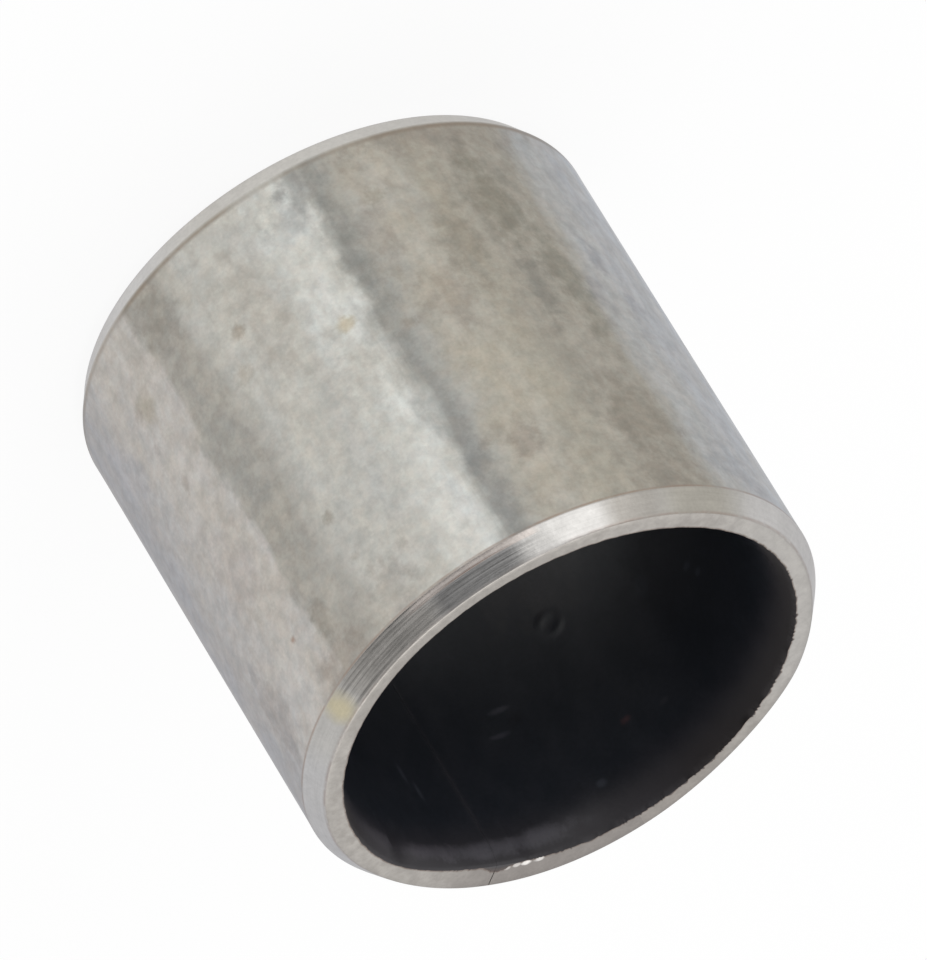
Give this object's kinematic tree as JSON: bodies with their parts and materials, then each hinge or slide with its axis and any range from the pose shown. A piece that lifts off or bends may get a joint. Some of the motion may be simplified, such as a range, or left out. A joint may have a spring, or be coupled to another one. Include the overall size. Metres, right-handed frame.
{
  "type": "shifter shaft bushing",
  "caption": "Wrapped plain bushing for a shift shaft: a split steel sleeve, chamfered at both ends, with a bonded black dry-running lining in its bore.",
  "frame": {"origin": "centre of the lower end, on the bore's axis, in the plane of the lower end face", "axes": "+Z along the bore's axis, towards the upper end; +Y from the axis through the butt seam"},
  "size_m": [0.012, 0.012, 0.0117],
  "materials": {
    "tinned_steel": "matte tin plate",
    "black_lining": "matte"
  },
  "bodies": {
    "root": {"steel_backing": "tinned_steel", "sliding_lining": "black_lining"}
  },
  "joints": []
}
